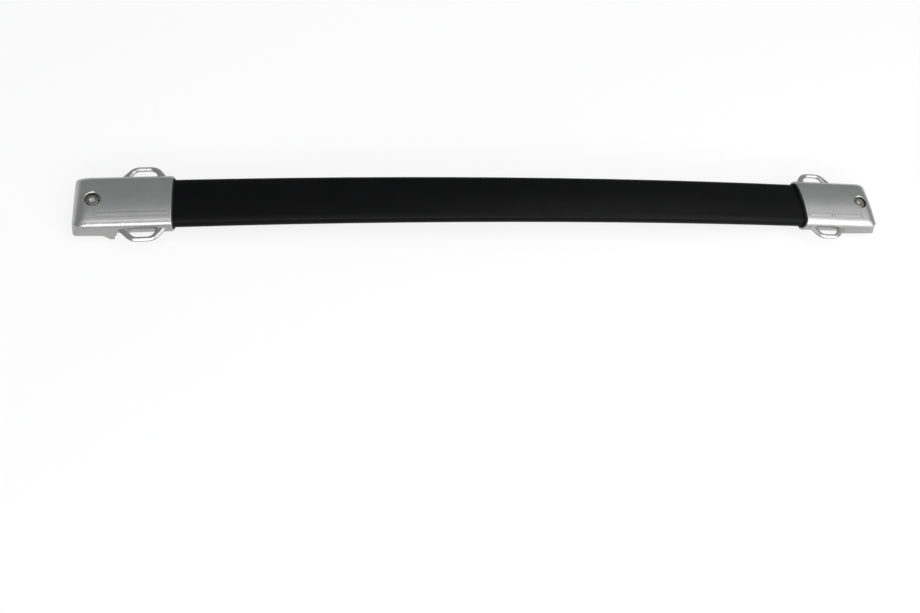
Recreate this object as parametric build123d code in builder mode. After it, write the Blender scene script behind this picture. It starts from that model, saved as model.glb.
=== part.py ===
from build123d import *
import os
from math import asin, atan2, cos, degrees, hypot, radians, sin, tan

os.makedirs("parts", exist_ok=True)

# Driving dimensions, in millimetres.
# The origin is on the ground under the middle of the bar: X along the bar, Y across it, Z up.
# A reach is a distance from the mouth of an end support outwards, a height is above the ground.

# Bowed hollow bar
bar_width = 60.8
bar_thickness = 20.0
bar_end_share = 0.8
bar_wall = 2.2
bar_span = 780.0
bar_bow = 11.0
bar_insert = 44.0
mouth_height = 20.5

# Cast end support: sleeve, foot and prongs
support_length = 108.3
support_wall = 4.0
bar_clearance = 0.4
bore_depth = 50.0
far_corner_radius = 9.0
near_corner_radius = 18.0
rim_corner_radius = 4.5
least_corner_radius = 0.5
corner_blend_height = 12.0
corner_margin = 0.05
end_wall_height = 1.5
end_roll_length = 18.0
end_roll_lead = 6.0
end_roll_margin = 1.0
end_roll_turns = (0, 25, 48, 68, 84)
foot_length = 46.3
rim_height = 7.5
rebate_depth = 2.0
rebate_lip = 1.2
rebate_corner_radius = 9.0
mouth_edge_radius = 1.0
prong_inner = 18.8
right_prong_outer = 28.0
prong_root_height = 15.0
prong_tip_length = 4.5
prong_tip_radius = 1.2
prong_lean = 2.5
prong_slope_length = 7.0

# Tie-down loops
loop_start = 5.0
loop_end = 62.0
loop_reach_out = 49.0
loop_run_in = 13.5
loop_run_out = 17.0
loop_band = 5.0
loop_leg = 11.5
loop_opening_radius = 9.0
loop_thickness = 4.6
loop_lift = 1.5
loop_corner_radius = 15.0
loop_chamfer = 1.7
loop_edge_radius = 1.1

# Seal ring in the mouth
seal_thickness = 2.0
seal_depth = 4.0
seal_lip = 1.2
seal_clearance = 0.3

# Clamp screw, washer and their counterbore
screw_end_gap = 22.3
screw_diameter = 8.0
screw_pitch = 1.25
screw_head_diameter = 14.0
screw_head_height = 3.7
screw_head_round = 1.4
screw_socket_width = 6.0
screw_socket_depth = 2.6
screw_recess = 2.3
screw_hole_clearance = 0.5
screw_tip_gap = 1.1
counterbore_clearance = 1.4
counterbore_chamfer = 1.1
chamfer_overrun = 1.5
cone_taper = 45.0
washer_diameter = 15.6
washer_thickness = 1.0
washer_clearance = 0.2
boss_wall = 2.6
boss_floor = 2.2

# Clamp jaw and nut
jaw_gap = 0.3
jaw_slit_gap = 0.6
jaw_arm_width = 24.0
jaw_arm_thickness = 3.5
jaw_leg_width = 34.0
jaw_leg_thickness = 3.2
jaw_lip_length = 4.5
jaw_lip_thickness = 3.2
jaw_ground_gap = 1.2
jaw_arm_overhang = 7.0
jaw_corner_radius = 3.0
jaw_bend_radius = 1.5
jaw_turns = 2.4
nut_width = 13.0
nut_height = 4.0
nut_chamfer = 0.8
thread_clearance = 0.05

# Rail saddle, its guide ribs and pads
saddle_gap = 1.4
saddle_width = 36.4
saddle_end_inset = 14.7
saddle_floor_thickness = 1.9
saddle_floor_lift = 0.5
saddle_nut_gap = 2.3
saddle_block_gap = 0.4
saddle_wall_length = 1.6
saddle_wall_gap = 0.4
saddle_arch = 0.9
saddle_dish_share = 0.235
saddle_end_gap = 0.2
guide_thickness = 3.0
guide_gap = 0.6
pad_thickness = 1.6
pad_width = 34.0
pad_rib_count = 5
pad_rib_width = 1.2
pad_rib_height = 1.0
pad_fit = 0.1
pad_gap = 0.5

# Ribs of the foot
rib_thickness = 1.8
rib_pitch = 6.4
rib_count = 9
border_thickness = 1.8

# Left fixing screws and the right floating pin, with their nuts in the bar
fixing_reach_near = 17.0
fixing_reach_far = 35.0
fixing_diameter = 6.0
fixing_head_diameter = 11.0
fixing_head_sink = 0.2
fixing_socket_width = 4.0
fixing_socket_depth = 1.8
fixing_length = 15.0
fit_clearance = 0.05
nut_sleeve_wall = 1.5
nut_bulge = 1.6
nut_bulge_height = 2.5
nut_bulge_gap = 0.3
nut_sleeve_length = 11.0
nut_sink = 0.1
keyhole_reach = 14.0
keyhole_diameter = 11.2
slot_end_reach = 42.0
slot_width = 6.6
slot_recess_width = 14.0
slot_recess_depth = 1.6
pin_reach = 29.0
pin_diameter = 6.0
pin_head_diameter = 10.4
pin_head_height = 2.0
pin_gap = 0.2
pin_thread_diameter = 5.0
pin_length = 12.0
pin_socket_width = 3.0
pin_socket_depth = 1.2

# Worked-out sizes
mouth_x = bar_span / 2
bow_radius = (mouth_x**2 + bar_bow**2) / (2 * bar_bow)
slope = asin(mouth_x / bow_radius)
bar_half_width = bar_width / 2
bar_half_height = bar_thickness / 2
bar_end_radius = bar_end_share * bar_half_height
bore_half_width = bar_half_width + bar_clearance
sleeve_growth = bar_clearance + support_wall
sleeve_half_width = bar_half_width + sleeve_growth
sleeve_half_height = bar_half_height + sleeve_growth
sleeve_end_radius = bar_end_radius + sleeve_growth
form_height = mouth_height + bar_bow + bar_thickness
step_reach = support_length - foot_length
screw_reach = support_length - screw_end_gap
screw_x = mouth_x + screw_reach
jaw_travel = screw_pitch * jaw_turns


def crown_height(reach):
    """Height of the support's top line at a reach from the mouth."""
    return mouth_height - reach * tan(slope) + sleeve_half_height


head_top = crown_height(screw_reach) - screw_recess
seat_height = head_top - screw_head_height - washer_thickness
boss_bottom = seat_height - boss_floor
arm_top = boss_bottom - jaw_gap
arm_bottom = arm_top - jaw_arm_thickness
nut_bottom = arm_bottom - nut_height
leg_x = mouth_x + step_reach + jaw_slit_gap
leg_end_x = leg_x + jaw_leg_thickness
lip_end_x = leg_end_x + jaw_lip_length
arm_end_x = screw_x + jaw_arm_overhang
saddle_x = leg_end_x + saddle_gap
saddle_end_x = mouth_x + support_length - saddle_end_inset
saddle_floor = rim_height + saddle_floor_lift
saddle_top = saddle_floor + saddle_floor_thickness
saddle_block_top = arm_bottom - jaw_travel - saddle_block_gap
saddle_block_x = screw_x - nut_width / 2 - saddle_nut_gap
lip_bottom = jaw_ground_gap
lip_top = lip_bottom + jaw_lip_thickness
saddle_wall_bottom = lip_top + saddle_wall_gap
saddle_dish_x = saddle_x + saddle_wall_length
saddle_arch_height = saddle_floor + saddle_arch
pad_rib_pitch = (saddle_end_x - saddle_end_gap - saddle_block_x) / pad_rib_count
prong_x = mouth_x + step_reach
guide_inner = jaw_arm_width / 2 + guide_gap
ribs_bottom = rim_height + rebate_depth
counterbore_radius = screw_head_diameter / 2 + counterbore_clearance
screw_hole_radius = screw_diameter / 2 + screw_hole_clearance
prong_end_x = prong_x + prong_lean + prong_tip_length + prong_slope_length
fixing_reaches = (fixing_reach_near, fixing_reach_far)
countersink_depth = (fixing_head_diameter - fixing_diameter) / 2
fixing_nut_radius = fixing_diameter / 2 + thread_clearance + nut_sleeve_wall
pin_nut_radius = pin_thread_diameter / 2 + thread_clearance + nut_sleeve_wall
pin_seat = bar_half_height - nut_sink
slot_floor = sleeve_half_height - slot_recess_depth

# Planes of the right mouth: a section across the bar and a plan that follows the bar's slope
mouth = Plane(
    (mouth_x, 0, mouth_height),
    x_dir=(0, 1, 0),
    z_dir=(cos(slope), 0, -sin(slope)),
)
right_plan = Plane(
    (mouth_x, 0, mouth_height),
    x_dir=(cos(slope), 0, -sin(slope)),
    z_dir=(sin(slope), 0, cos(slope)),
)
left_plan = Plane(
    (-mouth_x, 0, mouth_height),
    x_dir=(-cos(slope), 0, -sin(slope)),
    z_dir=(-sin(slope), 0, cos(slope)),
)


def oval_joint(half_width, half_height, end_radius):
    """Point where the flat crown arc of an oval runs into its tight end arc."""
    end_centre = half_width - end_radius
    crown_square = half_width**2 + half_height**2 - 2 * half_width * end_radius
    crown_radius = crown_square / 2 / (half_height - end_radius)
    turn = atan2(end_centre, crown_radius - half_height)
    return end_centre + end_radius * sin(turn), end_radius * cos(turn)


def oval(growth):
    """Section of the bar grown by a distance: two flat crowns joined by tight ends."""
    half_width = bar_half_width + growth
    half_height = bar_half_height + growth
    joint_y, joint_z = oval_joint(half_width, half_height, bar_end_radius + growth)
    with BuildSketch() as section:
        with BuildLine():
            ThreePointArc((joint_y, joint_z), (0, half_height), (-joint_y, joint_z))
            ThreePointArc((-joint_y, joint_z), (-half_width, 0), (-joint_y, -joint_z))
            ThreePointArc((-joint_y, -joint_z), (0, -half_height), (joint_y, -joint_z))
            ThreePointArc((joint_y, -joint_z), (half_width, 0), (joint_y, joint_z))
        make_face()
    return section.sketch


def plan_outline(inset, near_corner, far_corner):
    """Plan of the foot with its two outer corners rounded, set in by a wall."""
    with BuildSketch() as outline:
        with Locations((mouth_x + support_length - inset, 0)):
            half_width = sleeve_half_width - inset + corner_margin
            Rectangle(support_length, 2 * half_width, align=(Align.MAX, Align.CENTER))
        near_vertex = vertices().group_by(Axis.X)[-1].sort_by(Axis.Y)[0]
        fillet(near_vertex, max(near_corner - inset, least_corner_radius))
        far_vertex = vertices().group_by(Axis.X)[-1].sort_by(Axis.Y)[-1]
        fillet(far_vertex, max(far_corner - inset, least_corner_radius))
    return outline.sketch


def foot_section(reach, inset, share):
    """Section of the foot: an oval roof, drawn down to the end wall by a share, over straight skirts."""
    axis_height = mouth_height - reach * tan(slope)
    spring = (rim_height + end_wall_height - axis_height) * (1 - share)
    half_width = sleeve_half_width - inset
    half_height = (sleeve_half_height - inset) * share
    joint_y, joint_z = oval_joint(half_width, half_height, (sleeve_end_radius - inset) * share)
    with BuildSketch() as section:
        with BuildLine():
            TangentArc((half_width, spring), (joint_y, spring + joint_z), tangent=(0, 1))
            ThreePointArc(
                (joint_y, spring + joint_z),
                (0, spring + half_height),
                (-joint_y, spring + joint_z),
            )
            TangentArc((-half_width, spring), (-joint_y, spring + joint_z), tangent=(0, 1))
            Polyline(
                (-half_width, spring),
                (-half_width, spring - form_height),
                (half_width, spring - form_height),
                (half_width, spring),
            )
        make_face()
    return section.sketch


def loop_rims(level):
    """Rims of the loop in hand outside the sleeve, on its lower face (0) or its upper face (-1)."""
    outer_edges = edges().filter_by(lambda edge: edge.center().Y > sleeve_half_width)
    level_edges = outer_edges.filter_by(Plane.XY.rotated((0, degrees(slope), 0)))
    return level_edges.group_by(Axis((mouth_x, 0, mouth_height), (sin(slope), 0, cos(slope))))[level]


def foot_block(inset, floor_height):
    """Foot with its roof rolled down at the outer end and corners that sharpen towards the rim."""
    roll_reach = support_length - inset - end_roll_length
    blend_top = rim_height + corner_blend_height
    with BuildPart() as plan_form:
        with BuildSketch(Plane.XY.offset(rim_height)):
            add(plan_outline(inset, rim_corner_radius, rim_corner_radius))
        with BuildSketch(Plane.XY.offset(blend_top)):
            add(plan_outline(inset, near_corner_radius, far_corner_radius))
        loft()
        with BuildSketch(Plane.XY.offset(blend_top)):
            add(plan_outline(inset, near_corner_radius, far_corner_radius))
        extrude(amount=form_height)
        if floor_height < rim_height:
            with BuildSketch(Plane.XY.offset(rim_height)):
                add(plan_outline(inset, rim_corner_radius, rim_corner_radius))
            extrude(amount=floor_height - rim_height)
    with BuildPart() as block:
        with BuildSketch(mouth.offset(step_reach)):
            add(foot_section(step_reach, inset, 1))
        extrude(amount=roll_reach - end_roll_lead - step_reach)
        with BuildSketch(mouth.offset(roll_reach - end_roll_lead)):
            add(foot_section(roll_reach, inset, 1))
        for turn in end_roll_turns:
            reach = roll_reach + (end_roll_length + end_roll_margin) * sin(radians(turn))
            with BuildSketch(mouth.offset(reach)):
                add(foot_section(reach, inset, cos(radians(turn))))
        loft()
        add(plan_form.part, mode=Mode.INTERSECT)
    return block.part


# Tie-down loops: flat D-shaped frames on both sides of the sleeve
with BuildPart() as tie_loops:
    with BuildSketch(right_plan.offset(loop_lift - loop_thickness / 2)):
        with BuildLine():
            Polyline(
                (loop_start, bore_half_width),
                (loop_start + loop_run_in, loop_reach_out),
                (loop_end - loop_run_out, loop_reach_out),
                (loop_end, bore_half_width),
                close=True,
            )
        make_face()
        fillet(vertices().group_by(Axis.Y)[-1], loop_corner_radius)
    extrude(amount=loop_thickness)
    with BuildSketch(right_plan.offset(loop_lift - loop_thickness / 2)):
        with BuildLine():
            Polyline(
                (loop_start + loop_leg, bore_half_width),
                (loop_start + loop_run_in + loop_band / 2, loop_reach_out - loop_band),
                (loop_end - loop_run_out - loop_band / 2, loop_reach_out - loop_band),
                (loop_end - loop_leg, bore_half_width),
                close=True,
            )
        make_face()
        fillet(vertices().group_by(Axis.Y)[-1], loop_opening_radius)
    extrude(amount=loop_thickness, mode=Mode.SUBTRACT)
    chamfer(loop_rims(-1), loop_chamfer)
    fillet(loop_rims(0), loop_edge_radius)
    mirror(about=Plane.XZ)

# Hollow of the foot: open below, with its ribs, screw boss and jaw guides left standing
with BuildPart() as foot_hollow:
    add(foot_block(support_wall, 0))
    with BuildSketch(Plane.XY.offset(boss_bottom)):
        with Locations((screw_x, 0)):
            Circle(counterbore_radius + boss_wall)
    extrude(amount=form_height, mode=Mode.SUBTRACT)
    for side in (-1, 1):
        with BuildSketch(Plane.XZ.offset(side * (guide_inner + guide_thickness / 2))):
            with BuildLine():
                Polyline(
                    (saddle_x, saddle_block_top),
                    (saddle_block_x, saddle_block_top),
                    (saddle_block_x, saddle_top),
                    (saddle_end_x, saddle_top),
                    (saddle_end_x, form_height),
                    (saddle_x, form_height),
                    close=True,
                )
            make_face()
        extrude(amount=guide_thickness / 2, both=True, mode=Mode.SUBTRACT)
    with BuildSketch(Plane.XY.offset(ribs_bottom)):
        with Locations((saddle_end_x + border_thickness / 2, 0)):
            Rectangle(border_thickness, saddle_width)
        with Locations((saddle_end_x, 0)):
            with GridLocations(0, rib_pitch, 1, rib_count):
                Rectangle(support_length, rib_thickness, align=(Align.MIN, Align.CENTER))
        for side in (-1, 1):
            with Locations((prong_x, side * (saddle_width / 2 + rib_thickness))):
                Rectangle(support_length, rib_thickness, align=(Align.MIN, Align.CENTER))
    extrude(amount=form_height, mode=Mode.SUBTRACT)

# One end support as cast, before the holes that tell the two ends apart
with BuildPart() as end_casting:
    with BuildSketch(mouth):
        add(oval(sleeve_growth))
    extrude(amount=step_reach)
    add(foot_block(0, rim_height))
    fillet(faces().sort_by(Axis.X)[0].edges(), mouth_edge_radius)
    add(foot_hollow.part, mode=Mode.SUBTRACT)
    with BuildSketch(Plane.XY.offset(rim_height)):
        with Locations((mouth_x + support_length - rebate_lip, 0)):
            Rectangle(
                support_length - step_reach - rebate_lip,
                2 * (sleeve_half_width - rebate_lip),
                align=(Align.MAX, Align.CENTER),
            )
        fillet(vertices().group_by(Axis.X)[-1], rebate_corner_radius)
    extrude(amount=rebate_depth, mode=Mode.SUBTRACT)
    add(tie_loops.part)
    with BuildSketch(mouth):
        add(oval(bar_clearance))
    extrude(amount=bore_depth, mode=Mode.SUBTRACT)
    with BuildSketch(mouth):
        add(oval(seal_thickness))
    extrude(amount=seal_depth, mode=Mode.SUBTRACT)
    with Locations((screw_x, 0, form_height)):
        CounterBoreHole(screw_hole_radius, counterbore_radius, form_height - seat_height, form_height)
    chamfer_height = counterbore_chamfer + chamfer_overrun
    with BuildSketch(Plane.XY.offset(head_top + screw_recess + chamfer_overrun)):
        with Locations((screw_x, 0)):
            Circle(counterbore_radius + chamfer_height)
    extrude(amount=-chamfer_height, taper=cone_taper, mode=Mode.SUBTRACT)


def prongs(outer):
    """Two fingers that hang from the step, from beside the jaw out to a given half width."""
    width = outer - prong_inner
    with BuildPart() as fingers:
        with BuildSketch(Plane.XZ.offset(-prong_inner)):
            with BuildLine():
                Polyline(
                    (prong_x, prong_root_height),
                    (prong_x + prong_lean, 0),
                    (prong_x + prong_lean + prong_tip_length, 0),
                    (prong_end_x, rim_height),
                    (prong_end_x, prong_root_height),
                    close=True,
                )
            make_face()
            fillet(vertices().group_by(Axis.Y)[0], prong_tip_radius)
        extrude(amount=-width)
        mirror(about=Plane.XZ)
    return fingers.part


# Bowed bar: one arc of the hollow section, with straight ends inside the sleeves
with BuildPart() as crossbar_beam:
    with BuildSketch(mouth) as bar_section:
        add(oval(0))
        add(oval(-bar_wall), mode=Mode.SUBTRACT)
    extrude(amount=bar_insert)
    mirror(about=Plane.YZ)
    bow_axis = Axis((0, 0, mouth_height + bar_bow - bow_radius), (0, -1, 0))
    revolve(bar_section.sketch, axis=bow_axis, revolution_arc=2 * degrees(slope))
    with BuildSketch(left_plan):
        with Locations(*[(reach, 0) for reach in fixing_reaches]):
            Circle(fixing_nut_radius + fit_clearance)
    extrude(amount=-bar_thickness, mode=Mode.SUBTRACT)
    with BuildSketch(right_plan):
        with Locations((pin_reach, 0)):
            Circle(pin_nut_radius + fit_clearance)
    extrude(amount=-bar_thickness, mode=Mode.SUBTRACT)

# Right end support: keyhole slot with a stepped recess, so that the support floats along the bar
with BuildPart() as right_end_support:
    add(end_casting.part)
    add(prongs(right_prong_outer))
    slot_length = slot_end_reach - keyhole_reach
    slot_middle = (keyhole_reach + slot_end_reach) / 2
    with BuildSketch(right_plan.offset(-slot_floor)):
        with Locations((slot_middle, 0)):
            SlotCenterToCenter(slot_length, slot_recess_width)
    extrude(amount=-sleeve_half_height, mode=Mode.SUBTRACT)
    with BuildSketch(right_plan):
        with Locations((slot_middle, 0)):
            SlotCenterToCenter(slot_length, slot_width)
        with Locations((keyhole_reach, 0)):
            Circle(keyhole_diameter / 2)
    extrude(amount=-2 * sleeve_half_height, mode=Mode.SUBTRACT)

# Left end support: the same casting turned round, with two countersunk holes
with BuildPart() as left_end_support:
    mirror(end_casting.part, about=Plane.YZ)
    mirror(prongs(sleeve_half_width), about=Plane.YZ)
    with BuildSketch(left_plan):
        with Locations(*[(reach, 0) for reach in fixing_reaches]):
            Circle(fixing_diameter / 2 + fit_clearance)
    extrude(amount=-2 * sleeve_half_height, mode=Mode.SUBTRACT)
    for reach in fixing_reaches:
        with BuildSketch(left_plan.offset(-sleeve_half_height + fixing_head_sink)):
            with Locations((reach, 0)):
                Circle(fixing_head_diameter / 2 + fit_clearance)
        extrude(amount=countersink_depth, taper=cone_taper, mode=Mode.SUBTRACT)
        with BuildSketch(left_plan.offset(-sleeve_half_height + fixing_head_sink)):
            with Locations((reach, 0)):
                Circle(fixing_head_diameter / 2 + fit_clearance)
        extrude(amount=-2 * fixing_head_sink, mode=Mode.SUBTRACT)

with BuildPart() as left_fixing_screws:
    for reach in fixing_reaches:
        with BuildSketch(left_plan.offset(-sleeve_half_height + fixing_head_sink)):
            with Locations((reach, 0)):
                Circle(fixing_head_diameter / 2)
        extrude(amount=countersink_depth, taper=cone_taper)
    with BuildSketch(left_plan.offset(-sleeve_half_height + fixing_head_sink)):
        with Locations(*[(reach, 0) for reach in fixing_reaches]):
            Circle(fixing_diameter / 2)
    extrude(amount=fixing_length)
    with BuildSketch(left_plan.offset(-sleeve_half_height + fixing_head_sink)):
        with Locations(*[(reach, 0) for reach in fixing_reaches]):
            RegularPolygon(fixing_socket_width / 2, 6, major_radius=False)
    extrude(amount=fixing_socket_depth, mode=Mode.SUBTRACT)


def rivet_nuts(plan, reaches, outer_radius, bore_radius):
    """Rivet nuts set in the bar's lower wall, each with the bulge that grips it from inside."""
    with BuildPart() as nuts:
        with BuildSketch(plan.offset(-bar_half_height + nut_sink)):
            with Locations(*[(reach, 0) for reach in reaches]):
                Circle(outer_radius)
        extrude(amount=nut_sleeve_length)
        with BuildSketch(plan.offset(-bar_half_height + bar_wall + nut_bulge_gap)):
            with Locations(*[(reach, 0) for reach in reaches]):
                Circle(outer_radius + nut_bulge)
        extrude(amount=nut_bulge_height)
        with BuildSketch(plan):
            with Locations(*[(reach, 0) for reach in reaches]):
                Circle(bore_radius)
        extrude(amount=bar_thickness, both=True, mode=Mode.SUBTRACT)
    return nuts.part


with BuildPart() as left_fixing_nuts:
    add(rivet_nuts(left_plan, fixing_reaches, fixing_nut_radius, fixing_diameter / 2 + thread_clearance))

with BuildPart() as right_float_nut:
    add(rivet_nuts(right_plan, (pin_reach,), pin_nut_radius, pin_thread_diameter / 2 + thread_clearance))

with BuildPart() as right_float_pin:
    with BuildSketch(right_plan.offset(-slot_floor - pin_gap)):
        with Locations((pin_reach, 0)):
            Circle(pin_head_diameter / 2)
    extrude(amount=-pin_head_height)
    with BuildSketch(right_plan.offset(-pin_seat)):
        with Locations((pin_reach, 0)):
            Circle(pin_diameter / 2)
    extrude(amount=pin_seat - slot_floor - pin_gap)
    with BuildSketch(right_plan.offset(-pin_seat)):
        with Locations((pin_reach, 0)):
            Circle(pin_thread_diameter / 2)
    extrude(amount=pin_length)
    with BuildSketch(right_plan.offset(-slot_floor - pin_gap - pin_head_height)):
        with Locations((pin_reach, 0)):
            RegularPolygon(pin_socket_width / 2, 6, major_radius=False)
    extrude(amount=pin_socket_depth, mode=Mode.SUBTRACT)

# Seal ring: a rubber lip that closes the mouth round the bar
with BuildPart() as right_bar_seal:
    with BuildSketch(mouth.offset(-seal_lip)):
        add(oval(seal_thickness - fit_clearance))
        add(oval(seal_clearance), mode=Mode.SUBTRACT)
    extrude(amount=seal_lip + seal_depth)

with BuildPart() as left_bar_seal:
    mirror(right_bar_seal.part, about=Plane.YZ)

# Clamp screw: round head with a hexagon socket, on a plain shank
with BuildPart() as right_clamp_screw:
    with BuildSketch(Plane.XY.offset(head_top - screw_head_height)):
        with Locations((screw_x, 0)):
            Circle(screw_head_diameter / 2)
    extrude(amount=screw_head_height)
    fillet(edges().group_by(Axis.Z)[-1], screw_head_round)
    with BuildSketch(Plane.XY.offset(saddle_top + screw_tip_gap)):
        with Locations((screw_x, 0)):
            Circle(screw_diameter / 2)
    extrude(amount=head_top - screw_head_height - saddle_top - screw_tip_gap)
    with BuildSketch(Plane.XY.offset(head_top)):
        with Locations((screw_x, 0)):
            RegularPolygon(screw_socket_width / 2, 6, major_radius=False)
    extrude(amount=-screw_socket_depth, mode=Mode.SUBTRACT)

with BuildPart() as left_clamp_screw:
    mirror(right_clamp_screw.part, about=Plane.YZ)

with BuildPart() as right_screw_washer:
    with BuildSketch(Plane.XY.offset(seat_height)):
        with Locations((screw_x, 0)):
            Circle(washer_diameter / 2)
            Circle(screw_diameter / 2 + washer_clearance, mode=Mode.SUBTRACT)
    extrude(amount=washer_thickness)

with BuildPart() as left_screw_washer:
    mirror(right_screw_washer.part, about=Plane.YZ)

# Clamp jaw: a leg with a hooked lip in the slit, and an arm that reaches under the screw
with BuildPart() as right_clamp_jaw:
    with BuildSketch(Plane.XZ):
        with BuildLine():
            Polyline(
                (leg_x, lip_bottom),
                (lip_end_x, lip_bottom),
                (lip_end_x, lip_top),
                (leg_end_x, lip_top),
                (leg_end_x, arm_top),
                (leg_x, arm_top),
                close=True,
            )
        make_face()
        fillet(vertices().group_by(Axis.X)[0], jaw_bend_radius)
    extrude(amount=jaw_leg_width / 2, both=True)
    with BuildSketch(Plane.XY.offset(arm_bottom)):
        with Locations((leg_end_x, 0)):
            Rectangle(arm_end_x - leg_end_x, jaw_arm_width, align=(Align.MIN, Align.CENTER))
        fillet(vertices().group_by(Axis.X)[-1], jaw_corner_radius)
        with Locations((screw_x, 0)):
            Circle(screw_hole_radius, mode=Mode.SUBTRACT)
    extrude(amount=jaw_arm_thickness)

with BuildPart() as left_clamp_jaw:
    mirror(right_clamp_jaw.part, about=Plane.YZ)

with BuildPart() as right_jaw_nut:
    with BuildSketch(Plane.XY.offset(nut_bottom)):
        with Locations((screw_x, 0)):
            Rectangle(nut_width, nut_width)
            Circle(screw_diameter / 2 + thread_clearance, mode=Mode.SUBTRACT)
    extrude(amount=nut_height)
    chamfer(edges().filter_by(Axis.Z).filter_by(GeomType.LINE), nut_chamfer)

with BuildPart() as left_jaw_nut:
    mirror(right_jaw_nut.part, about=Plane.YZ)


def dish_line(drop):
    """Underside of the saddle, or of its pad: a dished wall that runs into a gently sloped floor."""
    start = (saddle_dish_x + drop, saddle_wall_bottom)
    turn = (saddle_block_x, saddle_arch_height - drop)
    end = (saddle_end_x - saddle_end_gap, saddle_floor - drop)
    depth = saddle_dish_share * hypot(turn[0] - start[0], turn[1] - start[1])
    return start, turn, end, depth


# Rail saddle: a thick dished block beside the slit and a thin floor under the nut
with BuildPart() as right_rail_saddle:
    with BuildSketch(Plane.XZ):
        with BuildLine():
            wall_end, floor_start, floor_end, dish_depth = dish_line(0)
            SagittaArc(wall_end, floor_start, dish_depth)
            Line(floor_start, floor_end)
            Polyline(
                floor_end,
                (saddle_end_x - saddle_end_gap, saddle_top),
                (saddle_block_x, saddle_top),
                (saddle_block_x, saddle_block_top),
                (saddle_x, saddle_block_top),
                (saddle_x, saddle_wall_bottom),
                wall_end,
            )
        make_face()
    extrude(amount=saddle_width / 2, both=True)

with BuildPart() as left_rail_saddle:
    mirror(right_rail_saddle.part, about=Plane.YZ)

# Rubber cover of the saddle, with ribs across the rail's grip, drawn on the right and turned round
with BuildPart() as saddle_cover:
    with BuildSketch(Plane.XZ):
        wall_top, floor_start, floor_end, dish_depth = dish_line(0)
        wall_bottom, cover_start, cover_end, cover_depth = dish_line(pad_thickness)
        with BuildLine():
            SagittaArc(wall_top, floor_start, dish_depth)
            Line(floor_start, floor_end)
            Line(floor_end, cover_end)
            Line(cover_end, cover_start)
            SagittaArc(cover_start, wall_bottom, -cover_depth)
            Line(wall_bottom, wall_top)
        make_face()
        floor_fall = saddle_arch / (floor_end[0] - floor_start[0])
        for rib in range(pad_rib_count):
            rib_run = (rib + 0.5) * pad_rib_pitch
            with Locations((cover_start[0] + rib_run, cover_start[1] - rib_run * floor_fall)):
                Rectangle(pad_rib_width, 2 * pad_rib_height)
    extrude(amount=pad_width / 2, both=True)

with BuildPart() as left_saddle_pad:
    mirror(saddle_cover.part, about=Plane.YZ)

# Rubber pad let into the underside of the left foot, round the saddle
with BuildPart() as left_foot_pad:
    with BuildSketch(Plane.XY.offset(rim_height)):
        pad_length = mouth_x + support_length - rebate_lip - prong_end_x - pad_gap - pad_fit
        pad_half_width = sleeve_half_width - rebate_lip - pad_fit
        with Locations((-prong_end_x - pad_gap, 0)):
            Rectangle(pad_length, 2 * pad_half_width, align=(Align.MAX, Align.CENTER))
        fillet(vertices().group_by(Axis.X)[0], rebate_corner_radius)
        with Locations((-saddle_end_x, 0)):
            Rectangle(
                support_length,
                saddle_width + 2 * pad_gap,
                align=(Align.MIN, Align.CENTER),
                mode=Mode.SUBTRACT,
            )
    extrude(amount=rebate_depth)

pieces = {
    "crossbar_beam": crossbar_beam,
    "left_end_support": left_end_support,
    "right_end_support": right_end_support,
    "left_fixing_screws": left_fixing_screws,
    "left_fixing_nuts": left_fixing_nuts,
    "right_float_pin": right_float_pin,
    "right_float_nut": right_float_nut,
    "left_bar_seal": left_bar_seal,
    "right_bar_seal": right_bar_seal,
    "left_clamp_screw": left_clamp_screw,
    "right_clamp_screw": right_clamp_screw,
    "left_screw_washer": left_screw_washer,
    "right_screw_washer": right_screw_washer,
    "left_clamp_jaw": left_clamp_jaw,
    "right_clamp_jaw": right_clamp_jaw,
    "left_jaw_nut": left_jaw_nut,
    "right_jaw_nut": right_jaw_nut,
    "left_rail_saddle": left_rail_saddle,
    "left_saddle_pad": left_saddle_pad,
    "left_foot_pad": left_foot_pad,
    "right_rail_saddle": right_rail_saddle,
}
for name, piece in pieces.items():
    piece.part.label = name
    export_step(piece.part, f"parts/{name}.step")
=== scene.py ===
"""Studio picture of a roof rack crossbar: a bowed black bar between two silver cast supports."""

import logging
from collections.abc import Callable
from dataclasses import dataclass
from enum import Enum
from math import pi, radians

import bpy
from mathutils import Matrix, Vector


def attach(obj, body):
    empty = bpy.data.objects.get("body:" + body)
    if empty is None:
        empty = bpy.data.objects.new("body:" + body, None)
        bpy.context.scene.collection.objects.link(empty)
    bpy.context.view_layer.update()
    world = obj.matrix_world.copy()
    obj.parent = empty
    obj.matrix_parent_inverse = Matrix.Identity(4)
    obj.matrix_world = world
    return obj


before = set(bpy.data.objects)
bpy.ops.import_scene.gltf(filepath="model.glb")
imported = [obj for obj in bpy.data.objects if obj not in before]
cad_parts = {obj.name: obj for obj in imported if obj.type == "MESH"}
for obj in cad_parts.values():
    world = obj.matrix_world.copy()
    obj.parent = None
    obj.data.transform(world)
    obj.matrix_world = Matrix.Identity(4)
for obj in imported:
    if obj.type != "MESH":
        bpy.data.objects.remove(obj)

log = logging.getLogger("crossbar")

MM = 0.001

Colour = tuple[float, float, float]
Point = tuple[float, float, float]
Socket = bpy.types.NodeSocket
Source = Socket | float

WHITE: Colour = (1.0, 1.0, 1.0)


def opaque(colour: Colour) -> tuple[float, float, float, float]:
    """Gives a colour its full alpha, as a colour socket takes it."""
    return (*colour, 1.0)


class Slot(Enum):
    """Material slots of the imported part."""

    SILVER = "silver_casting"
    BLACK_BAR = "black_bar"
    DARK_ZINC = "dark_zinc"
    BRIGHT_ZINC = "bright_zinc"
    BLACK_STEEL = "black_steel"
    RUBBER = "black_rubber"


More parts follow.
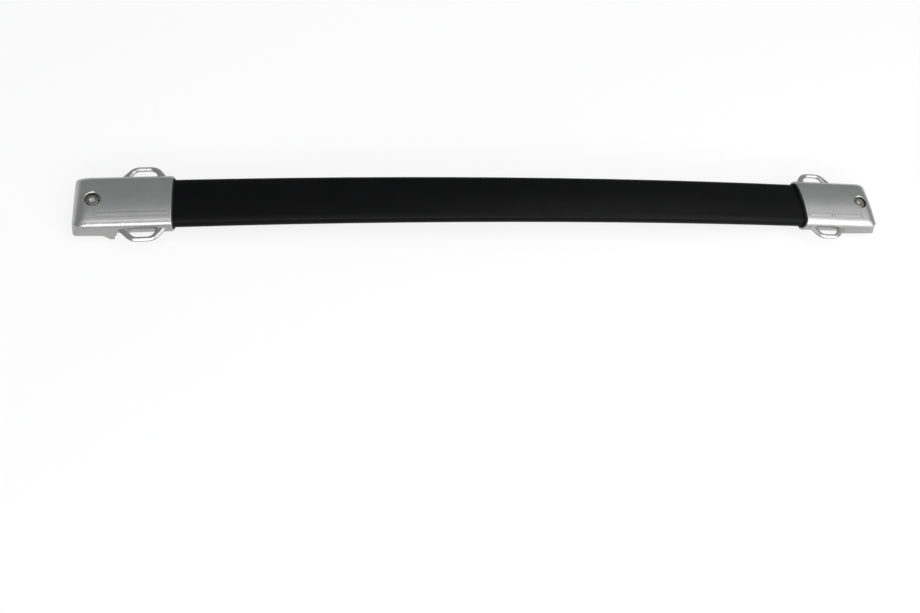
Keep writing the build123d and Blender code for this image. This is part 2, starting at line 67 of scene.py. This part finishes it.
class Side(Enum):
    """The two ends of the bar, as the sign of their place along X."""

    LEFT = -1
    RIGHT = 1

    @property
    def body(self) -> str:
        """Name of the body that carries this end."""
        return "bar" if self is Side.LEFT else "right_end"

    @property
    def support(self) -> str:
        """Name of the cast end support on this side."""
        return f"{self.name.lower()}_end_support"


class Board:
    """A node tree with short ways to place and join its nodes."""

    # A Mix node has sockets of the same name for each kind of data. These are its colour sockets.
    MIX_UNDER = 6
    MIX_OVER = 7
    MIX_RESULT = 2

    def __init__(self, tree: bpy.types.NodeTree) -> None:
        """Keeps the tree to work on."""
        self.tree = tree

    def place(self, kind: str, **settings: object) -> bpy.types.Node:
        """Adds a node.

        Args:
            kind: Blender's name for the node type.
            settings: Node properties to set, by name.

        Returns:
            The new node.
        """
        node = self.tree.nodes.new(kind)
        for name, value in settings.items():
            setattr(node, name, value)
        return node

    def give(self, socket: Socket, source: object) -> None:
        """Joins a socket to an input, or sets a plain value on it.

        Args:
            socket: The input that takes it.
            source: Socket or plain value.
        """
        if isinstance(source, Socket):
            self.tree.links.new(source, socket)
        else:
            socket.default_value = source

    def feed(self, node: bpy.types.Node, **sources: object) -> bpy.types.Node:
        """Joins sockets or sets values on a node's inputs.

        Args:
            node: The node that takes them.
            sources: Sockets or plain values by input name, with spaces written as underscores.

        Returns:
            The same node.
        """
        for name, source in sources.items():
            self.give(node.inputs[name.replace("_", " ")], source)
        return node

    def math(self, operation: str, first: Source, second: Source = 0.0) -> Socket:
        """Places a math node.

        Args:
            operation: Blender's name for the sum.
            first: First socket or number.
            second: Second socket or number.

        Returns:
            The result's socket.
        """
        node = self.place("ShaderNodeMath", operation=operation)
        for socket, source in zip(node.inputs, (first, second)):
            self.give(socket, source)
        return node.outputs[0]

    def noise(self, place: Socket, scale: Source, detail: float, roughness: float = 0.5) -> Socket:
        """Places a noise texture.

        Args:
            place: Surface coordinates.
            scale: How fine the noise is.
            detail: How many finer layers it has.
            roughness: How strong those layers are.

        Returns:
            The noise's value socket.
        """
        node = self.place("ShaderNodeTexNoise")
        self.feed(node, Vector=place, Scale=scale, Detail=detail, Roughness=roughness)
        return node.outputs[0]

    def spread(
        self, source: Socket, span: tuple[float, float], low: Source, high: Source
    ) -> Socket:
        """Maps a value from a span to a low and a high end.

        Args:
            source: Value to map.
            span: The part of it that matters.
            low: Result at the lower end.
            high: Result at the upper end.

        Returns:
            The mapped value's socket.
        """
        node = self.place("ShaderNodeMapRange")
        self.feed(node, Value=source, From_Min=span[0], From_Max=span[1], To_Min=low, To_Max=high)
        return node.outputs[0]

    def blend(self, mask: Socket, under: object, over: object) -> Socket:
        """Mixes two colours by a mask.

        Args:
            mask: How much of the upper colour shows.
            under: Socket or plain value of the lower colour.
            over: Socket or plain value of the upper colour.

        Returns:
            The mixed colour's socket.
        """
        node = self.feed(self.place("ShaderNodeMix", data_type="RGBA"), Factor=mask)
        self.give(node.inputs[self.MIX_UNDER], under)
        self.give(node.inputs[self.MIX_OVER], over)
        return node.outputs[self.MIX_RESULT]


def bare_material(name: str) -> tuple[bpy.types.Material, Board]:
    """Makes a material with no nodes in it yet.

    Args:
        name: The material's name.

    Returns:
        The material and its board.
    """
    material = bpy.data.materials.new(name)
    material.use_nodes = True
    material.node_tree.nodes.clear()
    return material, Board(material.node_tree)


class Effect(Enum):
    """Surface effects that the finishes are made from."""

    CLOUD = "soft_cloud"
    GRAIN = "coating_grain"
    TURNING = "turning_marks"
    RUBS = "handling_rubs"
    # Painted glint: a brighter colour round a screw's axis that stands in for a highlight.
    WEAR = "painted_socket_glint"


class EffectShelf:
    """Builds each effect once, as a shader node group."""

    # The orange peel's scale as a share of the grain's, and the height of the lathe rings.
    PEEL_SCALE = 0.22
    RING_HEIGHT = 0.5
    # How far the rubs are drawn out along the bar, and how far they lean off it.
    RUB_STRETCH = (0.12, 1.0, 1.0)
    RUB_LEAN = (0.0, 0.0, radians(7))

    def __init__(self) -> None:
        """Builds every group."""
        self.groups = {
            Effect.CLOUD: self.cloud(),
            Effect.GRAIN: self.grain(),
            Effect.TURNING: self.turning(),
            Effect.RUBS: self.rubs(),
            Effect.WEAR: self.wear(),
        }

    @staticmethod
    def start(
        effect: Effect, inputs: dict[str, float], output: str
    ) -> tuple[Board, bpy.types.bpy_prop_collection, bpy.types.Node]:
        """Starts a group with a vector input, number inputs and one number output.

        Args:
            effect: The effect that the group gives.
            inputs: Default values by input name.
            output: Name of the output.

        Returns:
            The group's board, the sockets that come in and the output node.
        """
        tree = bpy.data.node_groups.new(effect.value, "ShaderNodeTree")
        tree.interface.new_socket("Vector", in_out="INPUT", socket_type="NodeSocketVector")
        for name, value in inputs.items():
            socket = tree.interface.new_socket(name, in_out="INPUT", socket_type="NodeSocketFloat")
            socket.default_value = value
        tree.interface.new_socket(output, in_out="OUTPUT", socket_type="NodeSocketFloat")
        board = Board(tree)
        return board, board.place("NodeGroupInput").outputs, board.place("NodeGroupOutput")

    def cloud(self) -> bpy.types.NodeTree:
        """Slow uneven tone, for sprayed and moulded skins.

        Returns:
            The group's tree.
        """
        inputs = {"Scale": 40.0, "Low": 0.0, "High": 1.0}
        board, given, result = self.start(Effect.CLOUD, inputs, "Tone")
        noise = board.noise(given["Vector"], given["Scale"], detail=4.0, roughness=0.6)
        tone = board.spread(noise, span=(0.32, 0.68), low=given["Low"], high=given["High"])
        board.feed(result, Tone=tone)
        return board.tree

    def grain(self) -> bpy.types.NodeTree:
        """Fine pimples of a sprayed or powdered coating, with a broader orange peel under them.

        Returns:
            The group's tree.
        """
        inputs = {"Scale": 1500.0, "Peel": 0.35}
        board, given, result = self.start(Effect.GRAIN, inputs, "Height")
        fine = board.noise(given["Vector"], given["Scale"], detail=2.0)
        broad_scale = board.math("MULTIPLY", given["Scale"], self.PEEL_SCALE)
        broad = board.noise(given["Vector"], broad_scale, detail=1.0)
        peel = board.math("MULTIPLY", broad, given["Peel"])
        board.feed(result, Height=board.math("ADD", fine, peel))
        return board.tree

    @staticmethod
    def off_axis(board: Board, given: bpy.types.bpy_prop_collection) -> Socket:
        """Gives the distance from an upright axis that stands as far out on both sides of the bar.

        Args:
            board: The group's board.
            given: The sockets that come in, with Vector and Reach.

        Returns:
            The distance's socket.
        """
        parts = board.feed(board.place("ShaderNodeSeparateXYZ"), Vector=given["Vector"]).outputs
        along = board.math("SUBTRACT", board.math("ABSOLUTE", parts["X"]), given["Reach"])
        along_square = board.math("POWER", along, 2.0)
        across_square = board.math("POWER", parts["Y"], 2.0)
        return board.math("SQRT", board.math("ADD", along_square, across_square))

    def turning(self) -> bpy.types.NodeTree:
        """Rings left by a lathe, with a fine grain in them.

        Returns:
            The group's tree.
        """
        inputs = {"Reach": 0.0, "Rings": 9000.0, "Scale": 2600.0}
        board, given, result = self.start(Effect.TURNING, inputs, "Height")
        turns = board.math("MULTIPLY", self.off_axis(board, given), given["Rings"])
        rings = board.math("MULTIPLY", board.math("SINE", turns), self.RING_HEIGHT)
        fine = board.noise(given["Vector"], given["Scale"], detail=2.0)
        board.feed(result, Height=board.math("ADD", rings, fine))
        return board.tree

    def rubs(self) -> bpy.types.NodeTree:
        """Sparse faint rubs along the piece, as from a cloth or a strap.

        Returns:
            The group's tree.
        """
        inputs = {"Scale": 60.0, "Share": 0.5}
        board, given, result = self.start(Effect.RUBS, inputs, "Mask")
        drawn_out = board.place("ShaderNodeMapping")
        board.feed(
            drawn_out, Vector=given["Vector"], Scale=self.RUB_STRETCH, Rotation=self.RUB_LEAN
        )
        streak = board.noise(drawn_out.outputs[0], given["Scale"], detail=5.0, roughness=0.65)
        mask = board.spread(streak, span=(0.56, 0.74), low=0.0, high=given["Share"])
        board.feed(result, Mask=mask)
        return board.tree

    def wear(self) -> bpy.types.NodeTree:
        """Painted glint: a brighter colour round a screw's axis that stands in for the highlight
        in its socket.

        Returns:
            The group's tree.
        """
        inputs = {"Reach": 0.0, "Radius": 0.003}
        board, given, result = self.start(Effect.WEAR, inputs, "Mask")
        share = board.math("DIVIDE", self.off_axis(board, given), given["Radius"])
        board.feed(result, Mask=board.spread(share, span=(0.85, 1.0), low=1.0, high=0.0))
        return board.tree

    def use(self, board: Board, effect: Effect, place: Socket, **values: float) -> Socket:
        """Places an effect in a material.

        Args:
            board: The material's board.
            effect: Which effect to place.
            place: Surface coordinates.
            values: Values for the effect's other inputs.

        Returns:
            The effect's output socket.
        """
        node = board.place("ShaderNodeGroup", node_tree=self.groups[effect])
        board.feed(node, Vector=place, **values)
        return node.outputs[0]


@dataclass(frozen=True)
class Finish:
    """One finish of the crossbar, as numbers that its material is made from.

    Attributes:
        slot: The material slot that it dresses.
        dark, light: The two tones that cloud the surface.
        metallic, specular, coat, coat_roughness: Values for the shader.
        smooth, rough: The two ends of its roughness.
        tone_scale, roughness_fineness: How fine the tones are, and the roughness against them.
        grain_scale, grain_depth, bump_strength: The fine relief.
        rub_share, rub_and_painted_glint_colour: How far rubs show, and the colour of rubbed
            places, or of the painted glint in a screw's socket.
        turned_reach: How far out the axes of turned pieces stand, if the finish is turned.
        painted_glint_radius: Radius of the painted glint round those axes, a brighter colour that
            stands in for the highlight in a screw's socket.
    """

    slot: Slot
    dark: Colour
    light: Colour
    tone_scale: float
    metallic: float
    smooth: float
    rough: float
    grain_scale: float
    grain_depth: float
    roughness_fineness: float = 3.1
    bump_strength: float = 0.6
    specular: float = 0.5
    coat: float = 0.0
    coat_roughness: float = 0.1
    rub_share: float = 0.0
    rub_and_painted_glint_colour: Colour = WHITE
    turned_reach: float = 0.0
    painted_glint_radius: float = 0.0

    def make(self, shelf: EffectShelf) -> bpy.types.Material:
        """Builds the material.

        Args:
            shelf: The effects.

        Returns:
            The finished material.
        """
        material, board = bare_material(f"finish_{self.slot.value}")
        shader = board.place("ShaderNodeBsdfPrincipled")
        board.feed(board.place("ShaderNodeOutputMaterial"), Surface=shader.outputs[0])
        board.feed(shader, Metallic=self.metallic, Specular_IOR_Level=self.specular)
        board.feed(shader, Coat_Weight=self.coat, Coat_Roughness=self.coat_roughness)
        place = board.place("ShaderNodeTexCoord").outputs["Object"]
        tone = shelf.use(board, Effect.CLOUD, place, Scale=self.tone_scale)
        colour = board.blend(tone, opaque(self.dark), opaque(self.light))
        board.feed(shader, Base_Color=self.add_rubs_and_painted_glint(board, shelf, place, colour))
        roughness_scale = self.tone_scale * self.roughness_fineness
        roughness = shelf.use(
            board, Effect.CLOUD, place, Scale=roughness_scale, Low=self.smooth, High=self.rough
        )
        board.feed(shader, Roughness=roughness)
        board.feed(shader, Normal=self.bumped(board, shelf, place))
        return material

    def add_rubs_and_painted_glint(self, board: Board, shelf: EffectShelf, place: Socket, colour: Socket) -> Socket:
        """Lays faint rubs, or a painted glint round a screw's axis, over the colour.

        Args:
            board: The material's board.
            shelf: The effects.
            place: Surface coordinates.
            colour: The colour so far.

        Returns:
            The colour with its rubs, or with its painted glint.
        """
        # Painted glint: brighter metal colour round the screw's axis, standing in for the
        # highlight in the socket.
        if self.painted_glint_radius:
            mask = shelf.use(
                board, Effect.WEAR, place, Reach=self.turned_reach, Radius=self.painted_glint_radius
            )
        elif self.rub_share:
            mask = shelf.use(board, Effect.RUBS, place, Share=self.rub_share)
        else:
            return colour
        return board.blend(mask, colour, opaque(self.rub_and_painted_glint_colour))

    def bumped(self, board: Board, shelf: EffectShelf, place: Socket) -> Socket:
        """Gives the fine relief of the finish.

        Args:
            board: The material's board.
            shelf: The effects.
            place: Surface coordinates.

        Returns:
            The relief's normal socket.
        """
        if self.turned_reach:
            height = shelf.use(
                board, Effect.TURNING, place, Reach=self.turned_reach, Scale=self.grain_scale
            )
        else:
            height = shelf.use(board, Effect.GRAIN, place, Scale=self.grain_scale)
        bump = board.place("ShaderNodeBump")
        board.feed(bump, Strength=self.bump_strength, Distance=self.grain_depth, Height=height)
        return bump.outputs[0]


FINISHES = (
    Finish(
        Slot.SILVER,
        dark=(0.332, 0.334, 0.329), light=(0.364, 0.366, 0.36), tone_scale=45.0,
        metallic=0.95, smooth=0.295, rough=0.32, coat=0.3, coat_roughness=0.16,
        grain_scale=2400.0, grain_depth=0.015 * MM,
    ),
    Finish(
        Slot.BLACK_BAR,
        dark=(0.0005, 0.0006, 0.0008), light=(0.0009, 0.001, 0.0013), tone_scale=30.0,
        metallic=0.0, smooth=0.38, rough=0.46, specular=0.085,
        grain_scale=3000.0, grain_depth=0.03 * MM,
        rub_share=0.3, rub_and_painted_glint_colour=(0.0025, 0.0025, 0.0028),
    ),
    Finish(
        Slot.DARK_ZINC,
        dark=(0.16, 0.154, 0.132), light=(0.25, 0.241, 0.212), tone_scale=260.0,
        metallic=1.0, smooth=0.24, rough=0.36,
        grain_scale=2600.0, grain_depth=0.03 * MM, turned_reach=0.476,
        # The brighter colour round the socket is a painted glint that stands in for the highlight
        # there.
        painted_glint_radius=3.4 * MM, rub_and_painted_glint_colour=(0.58, 0.575, 0.55),
    ),
    Finish(
        Slot.BRIGHT_ZINC,
        dark=(0.46, 0.46, 0.45), light=(0.60, 0.60, 0.58), tone_scale=180.0,
        metallic=1.0, smooth=0.22, rough=0.36,
        grain_scale=2200.0, grain_depth=0.03 * MM,
    ),
    Finish(
        Slot.BLACK_STEEL,
        dark=(0.014, 0.014, 0.015), light=(0.026, 0.026, 0.027), tone_scale=220.0,
        metallic=0.85, smooth=0.34, rough=0.46,
        grain_scale=2400.0, grain_depth=0.03 * MM,
    ),
    Finish(
        Slot.RUBBER,
        dark=(0.006, 0.006, 0.006), light=(0.012, 0.012, 0.0115), tone_scale=120.0,
        metallic=0.0, smooth=0.66, rough=0.82, specular=0.3,
        grain_scale=1800.0, grain_depth=0.06 * MM,
    ),
)


class Paintwork:
    """All finishes as materials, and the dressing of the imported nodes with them."""

    def __init__(self) -> None:
        """Makes every material."""
        shelf = EffectShelf()
        self.materials = {finish.slot: finish.make(shelf) for finish in FINISHES}

    def dress_nodes(self) -> None:
        """Puts the finish of its slot on every node."""
        for name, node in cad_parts.items():
            for holder in node.material_slots:
                slot = Slot(holder.material.name.split(".")[0])
                holder.material = self.materials[slot]
                log.info("%s dressed in %s", name, slot.value)

    def dress(self, piece: bpy.types.Object, slot: Slot) -> None:
        """Puts a finish on a new piece.

        Args:
            piece: The piece to dress.
            slot: The slot that has the finish.
        """
        piece.data.materials.clear()
        piece.data.materials.append(self.materials[slot])


class Bench:
    """Hand tools of the modelling bench, as short calls to the operators."""

    MERGE_DISTANCE = 0.001 * MM
    SMOOTH_ANGLE = radians(35)

    @staticmethod
    def clear() -> None:
        """Deselects every object."""
        bpy.ops.object.select_all(action="DESELECT")

    @staticmethod
    def hold(piece: bpy.types.Object) -> None:
        """Selects one piece alone and makes it active.

        Args:
            piece: The piece to hold.
        """
        Bench.clear()
        piece.select_set(True)
        bpy.context.view_layer.objects.active = piece

    @staticmethod
    def pick_faces(piece: bpy.types.Object, wanted: Callable[[Vector], bool]) -> None:
        """Selects faces by their middle, in object mode.

        Args:
            piece: The piece to select on.
            wanted: A test that takes a face's middle.
        """
        mesh = piece.data
        for part in (mesh.vertices, mesh.edges):
            part.foreach_set("select", [False] * len(part))
        for face in mesh.polygons:
            face.select = wanted(face.center)

    @staticmethod
    def fix(piece: bpy.types.Object, kind: str, **settings: object) -> None:
        """Adds a modifier, sets it and applies it.

        Args:
            piece: The piece that gets it.
            kind: Blender's name for the modifier type.
            settings: Modifier properties by name.
        """
        Bench.hold(piece)
        modifier = piece.modifiers.new(kind.lower(), kind)
        for name, value in settings.items():
            setattr(modifier, name, value)
        bpy.ops.object.modifier_apply(modifier=modifier.name)

    @staticmethod
    def settle(piece: bpy.types.Object) -> None:
        """Moves a piece's place into its mesh, merges its doubles and turns its faces outwards.

        Args:
            piece: The piece to settle.
        """
        Bench.hold(piece)
        bpy.ops.object.transform_apply(location=True, rotation=True, scale=True)
        bpy.ops.object.mode_set(mode="EDIT")
        bpy.ops.mesh.select_all(action="SELECT")
        bpy.ops.mesh.remove_doubles(threshold=Bench.MERGE_DISTANCE)
        bpy.ops.mesh.normals_make_consistent(inside=False)
        bpy.ops.object.mode_set(mode="OBJECT")
        bpy.ops.object.shade_smooth_by_angle(angle=Bench.SMOOTH_ANGLE)


@dataclass
class LabelFrame:
    """Plain raised frame cast on the roof of an end support, measured in metres.

    Attributes:
        side: The end of the bar that it is on.
        near_x, far_x: Its reach along the bar, from the bar's middle outwards.
        near_y, far_y: Its reach across the bar.
        divider_x: Place of the strip that parts it in two, if it has one.
        panel_margin: From the border's outer edge to the plain panel in a pane.
        strip: Width of the border, and of the sheet's squares that it is cut from.
        height, sink: How far it stands out of the roof and goes into it.
        drop_from: Height of the sheet before it is laid on the roof.
        edge_round, edge_steps, edge_angle: Rounding of the edges sharper than the angle.
    """

    side: Side
    near_x: float
    far_x: float
    near_y: float
    far_y: float
    divider_x: float | None = None
    panel_margin: float = 3.0 * MM
    strip: float = 1.0 * MM
    height: float = 0.6 * MM
    sink: float = 0.12 * MM
    drop_from: float = 60.0 * MM
    edge_round: float = 0.18 * MM
    edge_steps: int = 2
    edge_angle: float = radians(50)

    def build(self, paint: Paintwork) -> bpy.types.Object:
        """Models the frame on the roof.

        Args:
            paint: The finishes.

        Returns:
            The finished frame.
        """
        length, width = self.far_x - self.near_x, self.far_y - self.near_y
        middle_x = self.side.value * (self.near_x + self.far_x) / 2
        middle_y = (self.near_y + self.far_y) / 2
        Bench.clear()
        bpy.ops.mesh.primitive_grid_add(
            x_subdivisions=round(length / self.strip),
            y_subdivisions=round(width / self.strip),
            size=1.0,
            location=(middle_x, middle_y, self.drop_from),
        )
        piece = bpy.context.active_object
        piece.name = f"{self.side.name.lower()}_label_frame"
        piece.scale = (length, width, 1.0)
        bpy.ops.object.transform_apply(location=True, rotation=True, scale=True)
        self.open_panes(piece)
        self.lay_on(piece)
        Bench.settle(piece)
        paint.dress(piece, Slot.SILVER)
        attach(piece, self.side.body)
        return piece

    def open_panes(self, piece: bpy.types.Object) -> None:
        """Cuts the panes, and leaves the border, the divider and a plain panel in each pane.

        Args:
            piece: The flat sheet.
        """
        def inside(middle: Vector, margin: float) -> bool:
            """Tells whether a face lies clear of the border and the divider.

            Args:
                middle: The face's middle.
                margin: How far clear it has to be.

            Returns:
                Whether it is clear.
            """
            x = self.side.value * middle.x
            clear = self.near_x + margin < x < self.far_x - margin
            clear = clear and self.near_y + margin < middle.y < self.far_y - margin
            return clear and (self.divider_x is None or abs(x - self.divider_x) > margin)

        def in_gap(middle: Vector) -> bool:
            """Tells whether a face lies between the border and the panel of its pane."""
            return inside(middle, self.strip) and not inside(middle, self.panel_margin)

        Bench.pick_faces(piece, in_gap)
        bpy.ops.object.mode_set(mode="EDIT")
        bpy.ops.mesh.select_mode(type="FACE")
        bpy.ops.mesh.delete(type="FACE")
        bpy.ops.object.mode_set(mode="OBJECT")

    def lay_on(self, piece: bpy.types.Object) -> None:
        """Drops the sheet on the roof, gives it its height and rounds its edges.

        Args:
            piece: The sheet with its panes cut.
        """
        Bench.fix(
            piece, "SHRINKWRAP", target=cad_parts[self.side.support], wrap_method="PROJECT",
            use_project_z=True, use_negative_direction=True, use_positive_direction=False,
        )
        bpy.ops.object.mode_set(mode="EDIT")
        bpy.ops.mesh.select_all(action="SELECT")
        bpy.ops.transform.translate(value=(0.0, 0.0, -self.sink))
        bpy.ops.object.mode_set(mode="OBJECT")
        Bench.fix(piece, "SOLIDIFY", thickness=self.height + self.sink, offset=1.0)
        Bench.fix(
            piece, "BEVEL", width=self.edge_round, segments=self.edge_steps,
            limit_method="ANGLE", angle_limit=self.edge_angle,
        )


@dataclass
class SoftBox:
    """A soft studio light that looks at the middle of the bar."""

    name: str
    place: Point
    width: float
    height: float
    brightness: float
    aim: Point = (0.0, 0.0, 0.02)

    def build(self) -> None:
        """Hangs the light and gives it the power that its size and brightness need."""
        data = bpy.data.lights.new(self.name, "AREA")
        data.shape = "RECTANGLE"
        data.size, data.size_y = self.width, self.height
        data.energy = self.brightness * pi * self.width * self.height
        lamp = bpy.data.objects.new(self.name, data)
        bpy.context.scene.collection.objects.link(lamp)
        lamp.location = self.place
        towards = Vector(self.aim) - Vector(self.place)
        lamp.rotation_euler = towards.to_track_quat("-Z", "Y").to_euler()


@dataclass
class Studio:
    """Floor, light and camera round the crossbar."""

    floor_size: float = 14.0
    floor_colour: Colour = (0.72, 0.72, 0.72)
    floor_glow: float = 0.8
    glow_strength: float = 1.0
    sky_colour: Colour = (0.97, 0.985, 1.0)
    sky_strength: float = 0.46
    camera_place: Point = (-0.27417, -0.58494, 0.92919)
    camera_right: Point = (0.98065, -0.10323, 0.16632)
    camera_up: Point = (0.01877, 0.8953, 0.44507)
    camera_back: Point = (-0.19485, -0.43334, 0.87992)
    camera_lens: float = 35.51
    camera_sensor: float = 36.0
    camera_nearest: float = 0.01
    lights: tuple[SoftBox, ...] = (
        SoftBox("front_softbox", (0.0, -1.55, 0.85), 2.6, 0.45, 6.2),
        SoftBox("right_softbox", (1.25, -0.75, 0.95), 0.9, 0.9, 2.9),
        SoftBox("right_low_softbox", (1.40, -1.10, 0.40), 0.9, 0.6, 2.4),
        SoftBox("side_softbox", (1.50, 0.20, 1.20), 0.8, 0.8, 0.8),
        SoftBox("overhead_softbox", (0.0, -0.20, 1.9), 3.4, 1.8, 0.55),
        SoftBox("overhead_strip", (0.0, -0.75, 1.7), 3.0, 0.8, 0.9),
        SoftBox("overhead_right_softbox", (0.85, 0.10, 1.88), 1.3, 0.7, 2.8),
    )

    def build(self) -> None:
        """Sets up the whole studio."""
        self.lay_floor()
        self.light_sky()
        for light in self.lights:
            light.build()
        self.stand_camera()
        bpy.context.scene.view_settings.view_transform = "Standard"

    def lay_floor(self) -> None:
        """Lays a pale floor that reads as white but keeps the shadow."""
        Bench.clear()
        bpy.ops.mesh.primitive_plane_add(size=self.floor_size)
        floor = bpy.context.active_object
        floor.name = "studio_floor"
        material, board = bare_material("studio_floor")
        matte = board.place("ShaderNodeBsdfDiffuse")
        board.feed(matte, Color=opaque(self.floor_colour))
        glow = board.place("ShaderNodeEmission")
        board.feed(glow, Color=opaque(WHITE), Strength=self.glow_strength)
        path = board.place("ShaderNodeLightPath").outputs
        seen = board.math("MAXIMUM", path["Is Camera Ray"], path["Is Glossy Ray"])
        seen = board.math("MAXIMUM", seen, path["Is Transmission Ray"])
        share = board.math("MULTIPLY", seen, self.floor_glow)
        mix = board.place("ShaderNodeMixShader")
        for socket, source in zip(mix.inputs, (share, matte.outputs[0], glow.outputs[0])):
            board.give(socket, source)
        board.feed(board.place("ShaderNodeOutputMaterial"), Surface=mix.outputs[0])
        floor.data.materials.append(material)

    def light_sky(self) -> None:
        """Fills the room with an even, slightly cool light."""
        world = bpy.data.worlds.new("studio_room")
        bpy.context.scene.world = world
        world.use_nodes = True
        board = Board(world.node_tree)
        background = world.node_tree.nodes["Background"]
        board.feed(background, Color=opaque(self.sky_colour), Strength=self.sky_strength)

    def stand_camera(self) -> None:
        """Stands the camera where the picture is taken from."""
        data = bpy.data.cameras.new("studio_camera")
        data.sensor_fit = "HORIZONTAL"
        data.sensor_width = self.camera_sensor
        data.lens = self.camera_lens
        data.clip_start = self.camera_nearest
        camera = bpy.data.objects.new("studio_camera", data)
        bpy.context.scene.collection.objects.link(camera)
        turn = Matrix((self.camera_right, self.camera_up, self.camera_back)).transposed()
        camera.matrix_world = Matrix.Translation(self.camera_place) @ turn.to_4x4()
        bpy.context.scene.camera = camera


LABEL_FRAMES = (
    LabelFrame(Side.LEFT, near_x=0.3925, far_x=0.4735, near_y=-0.0246, far_y=-0.0148),
    LabelFrame(
        Side.RIGHT, near_x=0.3925, far_x=0.4730, near_y=-0.0260, far_y=-0.0160, divider_x=0.4290
    ),
)


def main() -> None:
    """Builds and dresses the crossbar, then sets up the studio."""
    logging.basicConfig(level=logging.INFO, format="%(name)s: %(message)s")
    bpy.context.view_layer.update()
    paint = Paintwork()
    paint.dress_nodes()
    for label in LABEL_FRAMES:
        piece = label.build(paint)
        log.info("%s built with %d faces", piece.name, len(piece.data.polygons))
    Studio().build()


if __name__ == "__main__":
    main()
